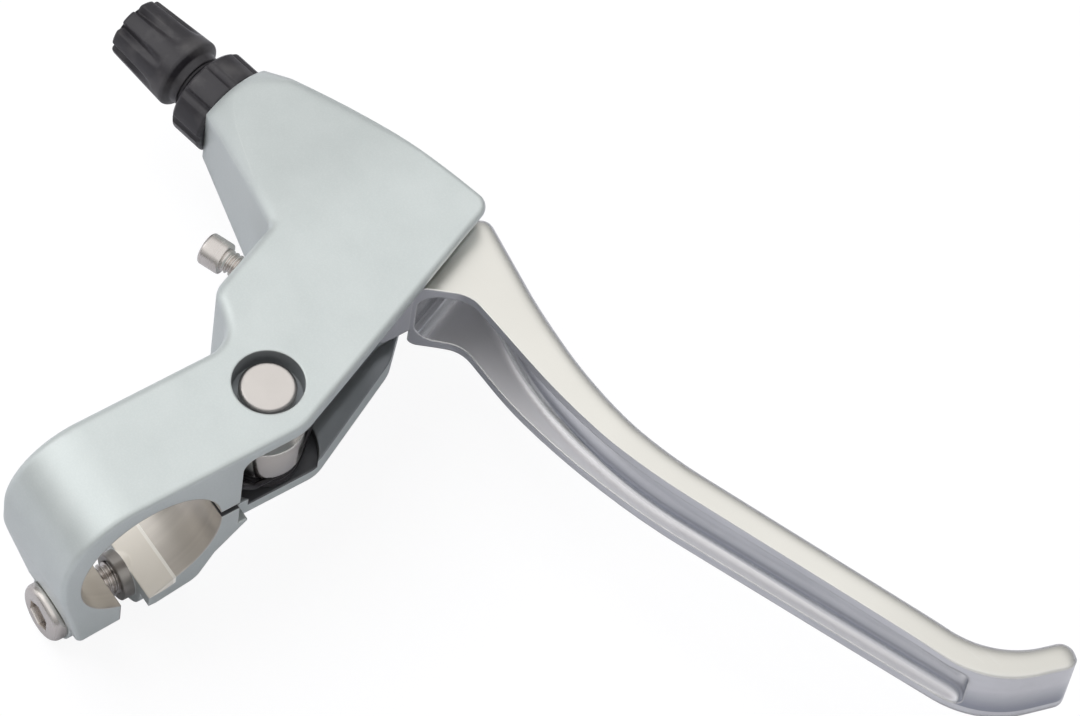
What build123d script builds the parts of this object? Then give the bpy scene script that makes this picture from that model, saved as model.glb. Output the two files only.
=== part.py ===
from build123d import *
import math
import os

# Brake lever for a flat handlebar, in millimetres.
# Origin at the centre of the handlebar bore, X along the bar towards the grip,
# Y forwards away from the rider, Z up along the lever's pivot.

# Handlebar clamp
bar_diameter = 22.2
clamp_wall = 2.9
clamp_width = 16.5
clamp_gap = 4.6
clamp_gap_front = 0.2
band_round = 11.3
band_rear_round = 8.0
band_rear_low_z = -1.5
band_taper_deg = 12.0
band_taper_start_z = 3.0
lug_depth = 3.4
lug_lip = 0.5
jaw_depth = 3.6
jaw_chamfer = 1.2
jaw_flat = 6.4
jaw_rise = 1.3
jaw_round = 2.5
jaw_root_set_in = 0.6
jaw_root_rise = 2.2
jaw_root_round = 3.0
jaw_lip = 0.4
jaw_relief = 1.35
jaw_relief_length = 4.2

# Clamp bolt, across the gap and under the bar
clamp_bolt_diameter = 5.0
clamp_bolt_x = 1.4
clamp_bolt_clear_of_bar = 1.9
clamp_bolt_head_diameter = 8.6
clamp_bolt_head_height = 2.2
clamp_bolt_head_round = 1.2
clamp_bolt_hex = 4.0
clamp_bolt_hex_depth = 1.5
clamp_bolt_seat = 0.4
bolt_boss_wall = 2.1
lug_length = 6.7
jaw_length = 8.0
jaw_collar_wall = 1.0
jaw_collar_length = 1.7

# Housing of the bracket, places ahead of the pivot are along Y
pivot_reach = 22.9
mouth_ahead = 0.6
mouth_angle_deg = 22.5
mouth_length = 45.0
mouth_round = 9.0
deck_thickness = 2.2
floor_top_z = -4.0
floor_thickness = 3.5
housing_wall = 3.1
rear_edge_round = 1.6
front_edge_round = 0.8
floor_edge_round = 1.4
nose_round = 2.4
nose_overhang = 5.0
far_edge_bend_x = -31.0
far_edge_bend_ahead = 36.4
far_edge_round = 150.0
slope_start_x = -20.0
slope_round = 60.0
pocket_round = 2.0
pocket_back_round = 1.0
pocket_top_round = 2.0
lip_taper_start = 10.0
lip_taper_rise = 1.2

# Floor of the housing under the lever, which stops short of the mouth
ear_set_back = 2.5
ear_step = 1.5
ear_bulge_ahead = 5.7
ear_bend_ahead = 23.1
ear_bend_inset = 1.6
ear_scoop_ahead = 29.0
ear_scoop_inset = 4.6
ear_end_inset = 2.8
ear_corner_round = 0.4
ear_bend_round = 6.0
ear_scoop_round = 6.0
ear_end_round = 3.0

# Boss for the barrel adjuster
boss_x = -46.0
boss_ahead = 24.2
boss_tilt_deg = 11.5
boss_half_width = 5.6
boss_above = 7.3
boss_below = 6.2
boss_thread_length = 10.0
boss_crown_radius = 10.0
boss_crown_spread = 8.0
boss_crown_length = 16.0
pocket_waist_ahead = 16.5

# Boss for the reach screw
reach_boss_inset = 22.4
reach_boss_rear_ahead = 1.7
reach_boss_slope_deg = 16.0
reach_boss_round = 3.5
neck_round = 5.0
rear_wall_end_ahead = 14.1
rear_corner_round = 1.5

# Lever pivot, from the deck down
pivot_pin_diameter = 5.0
pivot_head_diameter = 8.0
pivot_head_height = 2.5
pivot_head_sink = 1.0
pivot_head_chamfer = 0.4
pivot_recess_diameter = 10.1
pivot_boss_radius = 6.4
pivot_boss_wall = 1.5
pivot_neck_radius = 4.2
washer_thickness = 0.5
washer_radius = 3.7
hub_radius = 5.8
hub_height = 6.0
hub_rise = 0.1
hub_clearance = 1.0
bush_wall = 0.8
bush_fit = 0.02
clip_thickness = 0.7
clip_radius = 4.4
clip_groove_depth = 0.5
clip_mouth = 3.2
pin_tail = 0.9
running_gap = 0.05
flat_gap = 0.05

# Return spring
spring_wire = 0.9
spring_mean_radius = 5.1
spring_turns = 2
spring_pitch = 1.1
spring_gap = 0.2
spring_seat_radius = 8.0
spring_leave_deg = 37.5
spring_leg = 12.0
spring_hook_height = 1.8
spring_hook_round = 0.7
spring_leg_flat = 3.7
coil_steps = 40
leg_steps = 4
slit_height = 1.5
slit_depth = 5.0
slit_z = 0.9

# Lever
lever_mid_z = 1.0
root_height = 17.0
root_under_rise = 2.2
root_low_rise = 1.0
root_taper = 12.0
span_height = 13.4
span_end_height = 12.4
tip_height = 10.0
tip_under_drop = 0.9
tip_taper = 16.0
side_round = 50.0
root_ahead = 42.9
root_round = 2.0
eye_ahead = 27.2
eye_length = 5.0
eye_rise = 0.6
eye_round = 5.0
eye_end_round = 3.5
eye_end_ease = 0.1
rim_angle_deg = 5.0
bend_x = 21.9
bend_ahead = 38.6
bend_round = 70.0
rim_bend_round = 110.0
span_angle_deg = 23.0
span_length = 65.2
curl_angle_deg = 74.0
curl_length = 11.3
curl_round = 15.0
root_width = 6.0
span_width = 4.4
tip_round = 2.2
web_thickness = 2.1
flange_thickness = 1.7
channel_round = 1.6
channel_end_round = 2.4
channel_end_gap = 2.0
eye_wall = 0.6
blade_edge_round = 1.4
arm_inset = 1.9
arm_front_inset = 3.8
arm_back_inset = 8.7
arm_top_gap = 0.9
hook_x = -13.0
hook_ahead = 31.5
hook_radius = 5.2
hook_bore_radius = 3.6
hook_height = 7.6
hook_neck_width = 7.3
cable_slot_width = 2.2

# Reach screw
reach_screw_diameter = 3.4
reach_head_diameter = 4.8
reach_head_height = 3.4
reach_hex = 2.0
reach_hex_depth = 1.6
reach_exposed = 4.2
reach_ahead = 10.5
reach_above = 4.0
reach_tip_gap = 0.3
reach_head_round = 0.5
thread_chamfer = 0.4

# Barrel adjuster and lock ring, lengths along the boss axis
shank_diameter = 7.8
shank_in_boss = 1.0
lock_ring_radius = 6.8
lock_ring_length = 5.6
lock_ring_notches = 8
notch_radius = 0.9
notch_depth = 0.45
knob_neck = 1.6
knob_length = 12.9
knob_root_radius = 4.5
knob_cone = 2.0
knob_inner_radius = 5.6
knob_outer_radius = 4.8
knob_round = 1.2
knob_root_round = 0.4
knob_end_round = 0.6
knob_flutes = 8
flute_radius = 1.3
flute_depth = 0.6
flute_share = 0.62
casing_socket_radius = 2.55
casing_socket_depth = 9.0
cable_hole_radius = 1.2

# Derived places
bar_radius = bar_diameter / 2
deck_top_z = bar_radius + clamp_wall
deck_under_z = deck_top_z - deck_thickness
floor_bottom_z = floor_top_z - floor_thickness
clamp_half = clamp_width / 2
clamp_front_y = bar_radius + clamp_wall
gap_rear_y = clamp_gap_front - clamp_gap
lug_rear_y = gap_rear_y - lug_length
jaw_front_y = clamp_gap_front + jaw_length
clamp_bolt_z = -(bar_radius + clamp_bolt_clear_of_bar + clamp_bolt_diameter / 2)
bolt_hole_radius = clamp_bolt_diameter / 2 + running_gap
bolt_boss_radius = bolt_hole_radius + bolt_boss_wall

mouth_along = Vector(0, 1, 0).rotate(Axis.Z, mouth_angle_deg)
mouth_normal = Vector(1, 0, 0).rotate(Axis.Z, mouth_angle_deg)
mouth_start = Vector(clamp_half, pivot_reach + mouth_ahead, 0)
nose = mouth_start + mouth_along * mouth_length
boss_axis = Vector(-1, 0, 0).rotate(Axis.Z, boss_tilt_deg)
boss_side = Vector(0, 1, 0).rotate(Axis.Z, boss_tilt_deg)
boss_end = Vector(boss_x, pivot_reach + boss_ahead, lever_mid_z)
boss_plane = Plane(origin=boss_end, x_dir=boss_side, z_dir=boss_axis)
boss_far_corner = boss_end + boss_side * boss_half_width
boss_rear_corner = boss_end - boss_side * boss_half_width

hub_bottom_z = lever_mid_z - hub_height / 2 + hub_rise
hub_top_z = hub_bottom_z + hub_height
spring_top_z = hub_bottom_z - spring_gap - spring_wire / 2
spring_bottom_z = spring_top_z - spring_turns * spring_pitch
spring_seat_z = spring_bottom_z - spring_wire / 2 - spring_gap
pivot_radius = pivot_pin_diameter / 2
bush_radius = pivot_radius + running_gap + bush_wall
pivot_head_z = deck_top_z - pivot_head_sink
recess_floor_z = pivot_head_z - pivot_head_height
clip_z = floor_bottom_z - flat_gap - clip_thickness
washer_space = washer_thickness + 2 * flat_gap
shank_radius = shank_diameter / 2
reach_radius = reach_screw_diameter / 2
reach_z = lever_mid_z + reach_above
arm_top_z = lever_mid_z + root_height / 2 - arm_top_gap
spring_hook_z = hub_bottom_z + spring_hook_height
far = 200.0
edge_margin = 0.01
upright_limit = 0.1


def outline(points, radii):
    """Closed flat face with each corner rounded to its own radius."""
    return make_face(FilletPolyline(*points, radius=radii, close=True))


def slab(face, low_z, high_z):
    """Plan face raised between two heights."""
    return extrude(Pos(0, 0, low_z) * face, high_z - low_z)


def across(face):
    """Side-view face, drawn in X and Z, drawn out to both sides along Y."""
    return extrude(Plane.XZ * face, far, both=True)


def plan(point):
    """The x and y of a point."""
    return (point.X, point.Y)


def ahead(distance):
    """The y that lies this far ahead of the pivot."""
    return pivot_reach + distance


def heading(angle_deg):
    """Unit vector in plan at an angle from X towards Y."""
    return Vector(1, 0, 0).rotate(Axis.Z, angle_deg)


def beside_mouth(inset, y):
    """Plan point at the given y on the line that lies inset behind the mouth."""
    distance = mouth_start.dot(mouth_normal) - inset
    return ((distance - y * mouth_normal.Y) / mouth_normal.X, y)


def pillar(radius, low_z, high_z, x=0, y=pivot_reach):
    """Upright cylinder between two heights, on the pivot unless told otherwise."""
    return Pos(x, y, low_z) * extrude(Circle(radius), high_z - low_z)


def tube(inner, outer, low_z, high_z):
    """Upright ring on the pivot between two heights."""
    return pillar(outer, low_z, high_z) - pillar(inner, low_z, high_z)


def rod(radius, start, direction, length):
    """Cylinder of the given length from a start point along a direction."""
    return extrude(Plane(origin=start, z_dir=direction) * Circle(radius), length)


def bolt_rod(radius, start_y, end_y):
    """Cylinder on the clamp bolt's axis between two places along Y."""
    return rod(radius, (clamp_bolt_x, start_y, clamp_bolt_z), (0, 1, 0), end_y - start_y)


def hex_hole(across_flats, start, direction, depth):
    """Six-sided hole for a key, from a start point along a direction."""
    face = RegularPolygon(across_flats / 2, 6, major_radius=False)
    return extrude(Plane(origin=start, z_dir=direction) * face, depth)


def upright_walls(block):
    """Upright outer faces of the housing, without its ends at the bar and at the boss."""
    walls = []
    for face in block.faces():
        middle = face.center()
        on_boss_end = abs((middle - boss_end).dot(boss_axis)) < edge_margin
        on_bar = middle.Y < edge_margin
        if abs(face.normal_at(middle).Z) < upright_limit and not on_boss_end and not on_bar:
            walls.append(face)
    return walls


def is_front(face):
    """True for a wall that faces the grip or away from the rider."""
    normal = face.normal_at(face.center())
    return normal.X + normal.Y > 0


def upper_edge(face):
    """The highest edge of an upright wall."""
    return face.edges().sort_by(Axis.Z)[-1]


def lower_edge(face):
    """The lowest edge of an upright wall."""
    return face.edges().sort_by(Axis.Z)[0]


def housing_side(top_inset, floor_inset):
    """Side view of the housing, drawn in by a wall above and below."""
    top = deck_top_z - top_inset
    floor = floor_bottom_z + floor_inset
    boss_top = lever_mid_z + boss_above - top_inset
    boss_floor = lever_mid_z - boss_below + floor_inset
    face = outline(
        [
            (far, top),
            (slope_start_x, top),
            (boss_far_corner.X, boss_top),
            (-far, boss_top),
            (-far, boss_floor),
            (boss_far_corner.X, boss_floor),
            (slope_start_x, floor),
            (far, floor),
        ],
        [0, slope_round, 0, 0, 0, 0, slope_round, 0],
    )
    return across(face)


def housing_block():
    """Solid housing: plan outline cut to the side view, with rounded edges."""
    reach_low = beside_mouth(reach_boss_inset, ahead(reach_boss_rear_ahead))
    neck_drop = (-clamp_half - reach_low[0]) * math.tan(math.radians(reach_boss_slope_deg))
    face = outline(
        [
            (clamp_half, 0),
            plan(mouth_start),
            plan(nose),
            (far_edge_bend_x, ahead(far_edge_bend_ahead)),
            plan(boss_far_corner),
            plan(boss_rear_corner),
            beside_mouth(reach_boss_inset, ahead(rear_wall_end_ahead)),
            reach_low,
            (-clamp_half, reach_low[1] - neck_drop),
            (-clamp_half, 0),
        ],
        [0, mouth_round, nose_round, far_edge_round, 0, 0]
        + [rear_corner_round, reach_boss_round, neck_round, 0],
    )
    block = slab(face, floor_bottom_z, deck_top_z) & housing_side(0, 0)
    rear = [upper_edge(wall) for wall in upright_walls(block) if not is_front(wall)]
    block = fillet(rear, rear_edge_round)
    front = [upper_edge(wall) for wall in upright_walls(block) if is_front(wall)]
    block = fillet(front, front_edge_round)
    block -= ear_cut()
    low = [lower_edge(wall) for wall in upright_walls(block) if not is_front(wall)]
    return fillet(low, floor_edge_round)


def ear_cut():
    """Tool that trims the floor back behind the mouth, and further for the lever's root."""
    ear_x = clamp_half - ear_set_back
    step_y = clamp_front_y + ear_step
    face = outline(
        [
            (ear_x, step_y),
            (ear_x, ahead(ear_bulge_ahead)),
            beside_mouth(ear_bend_inset, ahead(ear_bend_ahead)),
            beside_mouth(ear_scoop_inset, ahead(ear_scoop_ahead)),
            beside_mouth(ear_end_inset, far),
            (far, far),
            (far, step_y),
        ],
        [ear_corner_round, ear_bend_round, ear_scoop_round, ear_end_round, 0, 0, 0],
    )
    return slab(face, -far, floor_top_z)


def jaw_wedge():
    """Tool that slopes the front jaw up into the floor, outside the floor's own edge."""
    ear_x = clamp_half - ear_set_back
    jaw_root = bar_radius - jaw_root_set_in
    step_y = clamp_front_y + ear_step
    face = make_face(
        Polyline(
            (jaw_root, -bar_radius + jaw_root_rise),
            (step_y, floor_top_z - jaw_lip),
            (step_y, -far),
            (jaw_root, -far),
            close=True,
        )
    )
    return Pos(ear_x, 0, 0) * extrude(Plane.YZ * face, clamp_half)


def pocket_plan():
    """Plan of the space between deck and floor, open along the mouth."""
    back_x = -(hub_radius + hub_clearance)
    arm_back = arm_back_inset + hub_clearance
    bay_end = boss_end - boss_axis * boss_thread_length
    far_along = Vector(boss_far_corner.X - nose.X, boss_far_corner.Y - nose.Y, 0).normalized()
    far_out = far_along.rotate(Axis.Z, -90)
    wall_end = nose + far_along * nose_overhang
    return outline(
        [
            (far, clamp_front_y),
            (back_x, clamp_front_y),
            (back_x, ahead(reach_ahead)),
            beside_mouth(arm_back, ahead(pocket_waist_ahead)),
            plan(bay_end - boss_side * boss_half_width),
            plan(bay_end + boss_side * (boss_half_width - housing_wall / 2)),
            plan(wall_end - far_out * housing_wall),
            plan(wall_end + far_out * far),
            (far, far),
        ],
        [0, pocket_round, pocket_back_round, pocket_round, pocket_round, pocket_round, 0, 0, 0],
    )


def spring_seat():
    """Tool for the round hollow in the floor that the return spring lies in."""
    hollow = slab(pocket_plan(), spring_seat_z, floor_top_z + floor_thickness)
    return hollow & pillar(spring_seat_radius, spring_seat_z, floor_top_z + floor_thickness)


def clamp_band():
    """Clamp with its rear lug and front jaw, before the bore and the gap are cut."""
    rear_y = -clamp_front_y
    joined_y = clamp_front_y + ear_step
    lip_z = floor_top_z - jaw_lip
    lug_z = -(bar_radius + lug_depth)
    jaw_z = -(bar_radius + jaw_depth)
    jaw_start_y = clamp_gap_front + jaw_chamfer
    face = outline(
        [
            (clamp_front_y, deck_top_z),
            (rear_y, deck_top_z),
            (rear_y, band_rear_low_z),
            (lug_rear_y, lug_z),
            (gap_rear_y, lug_z + lug_lip),
            (jaw_start_y, jaw_z),
            (jaw_start_y + jaw_flat, jaw_z + jaw_rise),
            (bar_radius - jaw_root_set_in, -bar_radius + jaw_root_rise),
            (joined_y, lip_z),
            (joined_y, floor_top_z),
            (clamp_front_y, floor_top_z),
        ],
        [0, band_round, band_rear_round, 0, 0, jaw_chamfer, jaw_round, jaw_root_round, 0, 0, 0],
    )
    band = extrude(Plane.YZ * face, clamp_half, both=True)
    outer = [edge for edge in band.edges() if is_band_outer(edge)]
    band = fillet([edge for edge in outer if edge.center().X < 0], rear_edge_round)
    outer = [edge for edge in band.edges() if is_band_outer(edge)]
    band = fillet([edge for edge in outer if edge.center().X > 0], front_edge_round)
    band += bolt_rod(bolt_boss_radius, lug_rear_y, gap_rear_y)
    band += bolt_rod(bolt_boss_radius, clamp_gap_front, jaw_front_y)
    return band - band_taper()


def is_band_outer(edge):
    """True for the edges along the top and the rear of the band, at either end of it."""
    middle = edge.center()
    at_end = abs(abs(middle.X) - clamp_half) < edge_margin
    return at_end and middle.Z > lug_rear_y and (middle.Z > deck_under_z or middle.Y < lug_rear_y)


def band_taper():
    """Wedge that narrows the lower half of the band on the side away from the grip."""
    slope = math.tan(math.radians(band_taper_deg))
    low_z = -2 * clamp_front_y
    face = make_face(
        Polyline(
            (-clamp_half, band_taper_start_z),
            (-clamp_half + slope * (band_taper_start_z - low_z), low_z),
            (-far, low_z),
            (-far, band_taper_start_z),
            close=True,
        )
    )
    return across(face)


def gap_cut():
    """Tool for the clamp gap, with the flat relief at the front jaw's tip."""
    relief_y = clamp_gap_front + jaw_relief_length
    face = make_face(
        Polyline(
            (gap_rear_y, 0),
            (gap_rear_y, -far),
            (clamp_gap_front, -far),
            (clamp_gap_front, -(bar_radius + jaw_relief)),
            (relief_y, -math.sqrt(bar_radius**2 - relief_y**2)),
            (relief_y, 0),
            close=True,
        )
    )
    return extrude(Plane.YZ * face, clamp_width, both=True)


def pocket_cove():
    """Rounded corner between the clamp's front wall and the underside of the deck."""
    back_x = -(hub_radius + hub_clearance)
    size = pocket_top_round
    square = Pos(clamp_front_y + size / 2, deck_under_z - size / 2) * Rectangle(size, size)
    hollow = Pos(clamp_front_y + size, deck_under_z - size) * Circle(size)
    return Pos(back_x, 0, 0) * extrude(Plane.YZ * (square - hollow), clamp_half - back_x)


def lip_taper():
    """Tool that thins the deck's lip from the pivot towards the nose, over the lever's root."""
    side = Plane(origin=mouth_start, x_dir=mouth_along, z_dir=mouth_normal)
    face = make_face(
        Polyline(
            (lip_taper_start, deck_under_z),
            (mouth_length, deck_under_z + lip_taper_rise),
            (mouth_length, deck_under_z),
            close=True,
        )
    )
    return extrude(side * face, -arm_back_inset)


def boss_crown():
    """Tool that crowns the deck's end over the lock ring, running out inwards."""
    end = Plane(origin=boss_end, x_dir=boss_side, z_dir=-boss_axis)
    wide = boss_crown_radius + boss_crown_spread
    centred = (Align.CENTER, Align.CENTER, Align.MIN)
    cone = Cone(boss_crown_radius, wide, boss_crown_length, align=centred)
    above = Box(4 * boss_half_width, far, boss_crown_length, align=(Align.CENTER, Align.MIN, Align.MIN))
    return end * (above - Pos(0, boss_above - boss_crown_radius, 0) * cone)


def slit_cut():
    """Tool for the slot in the clamp's front wall that holds the spring's fixed leg."""
    corner = Pos(clamp_half - slit_depth, 0, slit_z - slit_height / 2)
    return corner * Box(slit_depth * 2, clamp_front_y + ear_step, slit_height, align=Align.MIN)


def reach_start():
    """Point where the reach screw enters the face of its boss."""
    x, y = beside_mouth(reach_boss_inset, ahead(reach_ahead))
    return Vector(x, y, reach_z)


def bracket_body():
    """One casting: clamp, housing, adjuster boss and reach boss."""
    body = housing_block() - (slab(pocket_plan(), -far, far) & housing_side(deck_thickness, floor_thickness))
    body -= boss_crown()
    body += clamp_band()
    body -= jaw_wedge()
    body += pocket_cove()
    body -= lip_taper()
    body += pillar(pivot_boss_radius, recess_floor_z - pivot_boss_wall, deck_top_z - deck_thickness / 2)
    body += pillar(pivot_neck_radius, hub_top_z + washer_space, recess_floor_z)
    body -= spring_seat()
    body += pillar(washer_radius, floor_bottom_z + floor_edge_round, hub_bottom_z - washer_space)
    body -= rod(bar_radius, (-far, 0, 0), (1, 0, 0), 2 * far)
    body -= gap_cut()
    body += bolt_rod(bolt_hole_radius + jaw_collar_wall, clamp_gap_front - jaw_collar_length, jaw_front_y)
    body -= bolt_rod(bolt_hole_radius, -far, far)
    body -= bolt_rod(clamp_bolt_head_diameter / 2 + clamp_bolt_seat, -far, lug_rear_y)
    body -= slit_cut()
    body -= pillar(pivot_radius + running_gap, -far, far)
    body -= pillar(pivot_recess_diameter / 2, recess_floor_z, far)
    body -= rod(shank_radius + running_gap, boss_end, -boss_axis, boss_thread_length + pocket_round)
    body -= rod(reach_radius + running_gap, reach_start(), mouth_normal, reach_boss_inset - arm_inset)
    return body


def meet(point, angle_deg, other, other_angle_deg):
    """Plan point where two lines cross, each given by a point and an angle."""
    along = heading(angle_deg)
    square = heading(other_angle_deg + 90)
    return point + along * ((other - point).dot(square) / along.dot(square))


def blade_lines(depth):
    """Root end, bend, curl and tip of the blade's far side, drawn in by a depth."""
    root = Vector(*beside_mouth(arm_inset, ahead(root_ahead)), 0)
    bend = Vector(bend_x, ahead(bend_ahead), 0)
    root_angle = math.degrees(math.atan2(bend.Y - root.Y, bend.X - root.X))
    curl = bend + heading(span_angle_deg) * span_length
    tip = curl + heading(curl_angle_deg) * curl_length
    root_in = root + heading(root_angle - 90) * depth
    bend_in = bend + heading(span_angle_deg - 90) * depth
    curl_in = curl + heading(curl_angle_deg - 90) * depth
    bend_point = meet(root_in, root_angle, bend_in, span_angle_deg)
    curl_point = meet(bend_in, span_angle_deg, curl_in, curl_angle_deg)
    return root_in, bend_point, curl_point, tip + heading(curl_angle_deg - 90) * depth


def blade_side(inset):
    """Side view of the blade: tall at the root, even along the span, low at the tip."""
    span_end = bend_x + span_length * math.cos(math.radians(span_angle_deg)) - tip_taper / 2
    tip_x = span_end + tip_taper
    tip_low = tip_height / 2 + tip_under_drop
    middle = [
        (bend_x - root_taper, root_height / 2),
        (bend_x + root_taper / 2, span_height / 2),
        (span_end, span_end_height / 2),
    ]
    above = [(-far, root_height / 2)] + middle + [(tip_x, tip_height / 2), (far, tip_height / 2)]
    root_low = root_height / 2 - root_low_rise
    below = [(far, tip_low), (tip_x, tip_low)] + middle[:0:-1] + [(bend_x - root_taper, root_low)]
    under_start = bend_x - 2 * root_taper
    upper = [(x, half - inset) for x, half in above]
    lower = [(x, inset - half) for x, half in below]
    under = [(under_start, inset + root_under_rise - root_height / 2)]
    under_end = [(-far, inset + root_under_rise - root_height / 2)]
    rounds = [0, side_round, side_round, side_round, tip_taper, 0]
    face = outline(upper + lower + under + under_end, rounds + rounds[:0:-1] + [root_taper, 0])
    return Pos(0, 0, lever_mid_z) * across(face)


def blade_plan(rider_reach):
    """Plan of the blade's far side and tip, carried on towards the rider by a reach."""
    root, bend, curl, tip = blade_lines(0)
    rider = Vector(0, -1, 0)
    tip_side = heading(curl_angle_deg - 90)
    return outline(
        [
            plan(root),
            plan(bend),
            plan(curl),
            plan(tip),
            plan(tip + tip_side * rider_reach),
            plan(tip + tip_side * rider_reach + rider * rider_reach),
            plan(root - mouth_along * rider_reach),
        ],
        [root_round, bend_round, curl_round, tip_round, 0, 0, 0],
    )


def rim_plan():
    """Plan area that the blade keeps, bounded on the rider's side by the flanges' rims."""
    _, rim_bend, rim_curl, rim_tip = blade_lines(span_width)
    eye = Vector(*beside_mouth(arm_inset, ahead(eye_ahead)), 0)
    rim_start = Vector(eye.X + eye_length, ahead(bend_ahead) - root_width + eye_rise, 0)
    rim_bend = meet(rim_start, rim_angle_deg, rim_bend, span_angle_deg)
    beyond = rim_tip + heading(curl_angle_deg + 90) * far
    return outline(
        [
            plan(eye),
            plan(rim_start),
            plan(rim_bend),
            plan(rim_curl),
            plan(rim_tip),
            plan(beyond),
            (-far, eye.Y),
        ],
        [0, eye_round, rim_bend_round, curl_round, tip_round, 0, 0],
    )


def round_far_edges(block, radius):
    """The block with its upper and lower edges rounded along every upright wall but the rider's."""
    walls = []
    for face in block.faces():
        normal = face.normal_at(face.center())
        if abs(normal.Z) < upright_limit and normal.Y > -upright_limit:
            walls.append(face)
    edges = [upper_edge(wall) for wall in walls] + [lower_edge(wall) for wall in walls]
    return fillet(edges, radius)


def blade_channel():
    """Tool for the channel along the rider's side, ending in the eye at the root."""
    root, bend, curl, _ = blade_lines(web_thickness)
    root_angle = math.degrees(math.atan2(bend.Y - root.Y, bend.X - root.X))
    end_wall = Vector(*beside_mouth(arm_inset - eye_wall, ahead(eye_ahead)), 0)
    end = curl - heading(span_angle_deg) * channel_end_gap
    rider = heading(span_angle_deg - 90)
    face = outline(
        [
            plan(end_wall - mouth_along * eye_ahead),
            plan(meet(root, root_angle, end_wall, 90 + mouth_angle_deg)),
            plan(bend),
            plan(end),
            plan(end + rider * eye_ahead),
        ],
        [0, channel_end_round, bend_round, channel_end_round, 0],
    )
    channel = slab(face, -far, far) & blade_side(flange_thickness)
    return round_far_edges(channel, channel_round) & eye_end()


def eye_end():
    """Space in front of the eye's end wall, rounded at the top and the bottom of the wall."""
    wall_end = mouth_start - mouth_normal * (arm_inset - eye_wall)
    half = root_height / 2 - flange_thickness + eye_end_ease
    high = lever_mid_z + half
    low = lever_mid_z - half + root_under_rise
    open_x = eye_end_round + eye_end_ease
    face = outline(
        [
            (0, high),
            (open_x, high),
            (open_x, far),
            (far, far),
            (far, -far),
            (open_x, -far),
            (open_x, low),
            (0, low),
        ],
        [eye_end_round, 0, 0, 0, 0, 0, 0, eye_end_round],
    )
    return extrude(Plane(origin=wall_end, x_dir=mouth_normal, z_dir=-mouth_along) * face, far, both=True)


def lever_arm():
    """Arm from the hub to the blade's root, under the deck."""
    face = outline(
        [
            (hub_radius, pivot_reach),
            beside_mouth(arm_front_inset, ahead(hub_radius)),
            beside_mouth(arm_front_inset, ahead(eye_ahead - eye_length)),
            beside_mouth(arm_inset, ahead(eye_ahead)),
            beside_mouth(arm_inset, ahead(root_ahead - root_width)),
            beside_mouth(arm_back_inset - root_round, ahead(root_ahead - root_width)),
            beside_mouth(arm_back_inset, ahead(eye_ahead)),
            beside_mouth(arm_back_inset, ahead(reach_ahead)),
            (-hub_radius, pivot_reach),
        ],
        [0, hub_radius, eye_round, 0, 0, root_round, 0, hub_radius, 0],
    )
    arm = slab(face, hub_bottom_z, arm_top_z)
    return arm - pillar(pivot_boss_radius + hub_clearance, hub_top_z, far)


def cable_hook():
    """Hook on the arm for the cable's barrel end."""
    low = lever_mid_z - hook_height / 2
    high = lever_mid_z + hook_height / 2
    hook_y = ahead(hook_ahead)
    neck_x = beside_mouth(arm_back_inset, hook_y)[0] + root_round
    neck = Pos(hook_x, hook_y, low) * Box(
        neck_x - hook_x, hook_neck_width, hook_height, align=(Align.MIN, Align.CENTER, Align.MIN)
    )
    return pillar(hook_radius, low, high, hook_x, hook_y) + neck


def lever_blade():
    """One forging: hub, arm, cable hook and channel blade."""
    block = slab(blade_plan(far / 4), -far, far) & blade_side(0)
    lever = round_far_edges(block, blade_edge_round) & slab(rim_plan(), -far, far)
    lever -= blade_channel()
    lever += lever_arm()
    lever += cable_hook()
    lever += pillar(hub_radius, hub_bottom_z, hub_top_z)
    lever -= pillar(bush_radius + bush_fit, -far, far)
    lever -= pillar(hook_bore_radius, -far, far, hook_x, ahead(hook_ahead))
    slot = Plane(origin=(hook_x, ahead(hook_ahead), 0), x_dir=boss_axis, z_dir=(0, 0, 1))
    lever -= slot * Box(hook_radius * 2, cable_slot_width, far, align=(Align.MIN, Align.CENTER, Align.CENTER))
    tip = spring_tip()
    lever -= pillar(spring_wire / 2 + spring_gap, -far, spring_hook_z + spring_gap, tip.X, tip.Y)
    return lever


def pivot_pin():
    """Pin that the lever turns on: sunk head, plain shank and a groove for the clip."""
    head = pillar(pivot_head_diameter / 2, recess_floor_z, pivot_head_z)
    head = chamfer(head.edges().sort_by(Axis.Z)[-1], pivot_head_chamfer)
    pin = head + pillar(pivot_radius, clip_z - pin_tail, recess_floor_z)
    pin = chamfer(pin.edges().sort_by(Axis.Z)[0], pivot_head_chamfer)
    return pin - tube(pivot_radius - clip_groove_depth, far, clip_z - flat_gap, floor_bottom_z - flat_gap / 2)


def pivot_clip():
    """Open ring that snaps into the pin's groove under the floor."""
    ring = tube(pivot_radius - clip_groove_depth + running_gap, clip_radius, clip_z, clip_z + clip_thickness)
    mouth = Pos(0, pivot_reach, clip_z) * Box(
        clip_mouth, clip_radius * 2, clip_thickness, align=(Align.CENTER, Align.MIN, Align.MIN)
    )
    return ring - mouth


def pivot_bush():
    """Plain bearing pressed into the lever's hub."""
    return tube(pivot_radius + running_gap, bush_radius, hub_bottom_z, hub_top_z)


def thrust_washer_upper():
    """Washer between the hub and the deck's pivot boss."""
    low = hub_top_z + flat_gap
    return tube(pivot_radius + running_gap, washer_radius, low, low + washer_thickness)


def thrust_washer_lower():
    """Washer between the hub and the floor's pivot boss."""
    high = hub_bottom_z - flat_gap
    return tube(pivot_radius + running_gap, washer_radius, high - washer_thickness, high)


def spring_tip():
    """Place on the spring's moving leg where it turns up into the arm."""
    leave = Vector(0, pivot_reach, 0) + heading(spring_leave_deg) * spring_mean_radius
    return leave + heading(spring_leave_deg + 90) * spring_leg


def ease(share):
    """Smooth step from 0 to 1, level at both ends."""
    return share * share * (3 - 2 * share)


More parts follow.
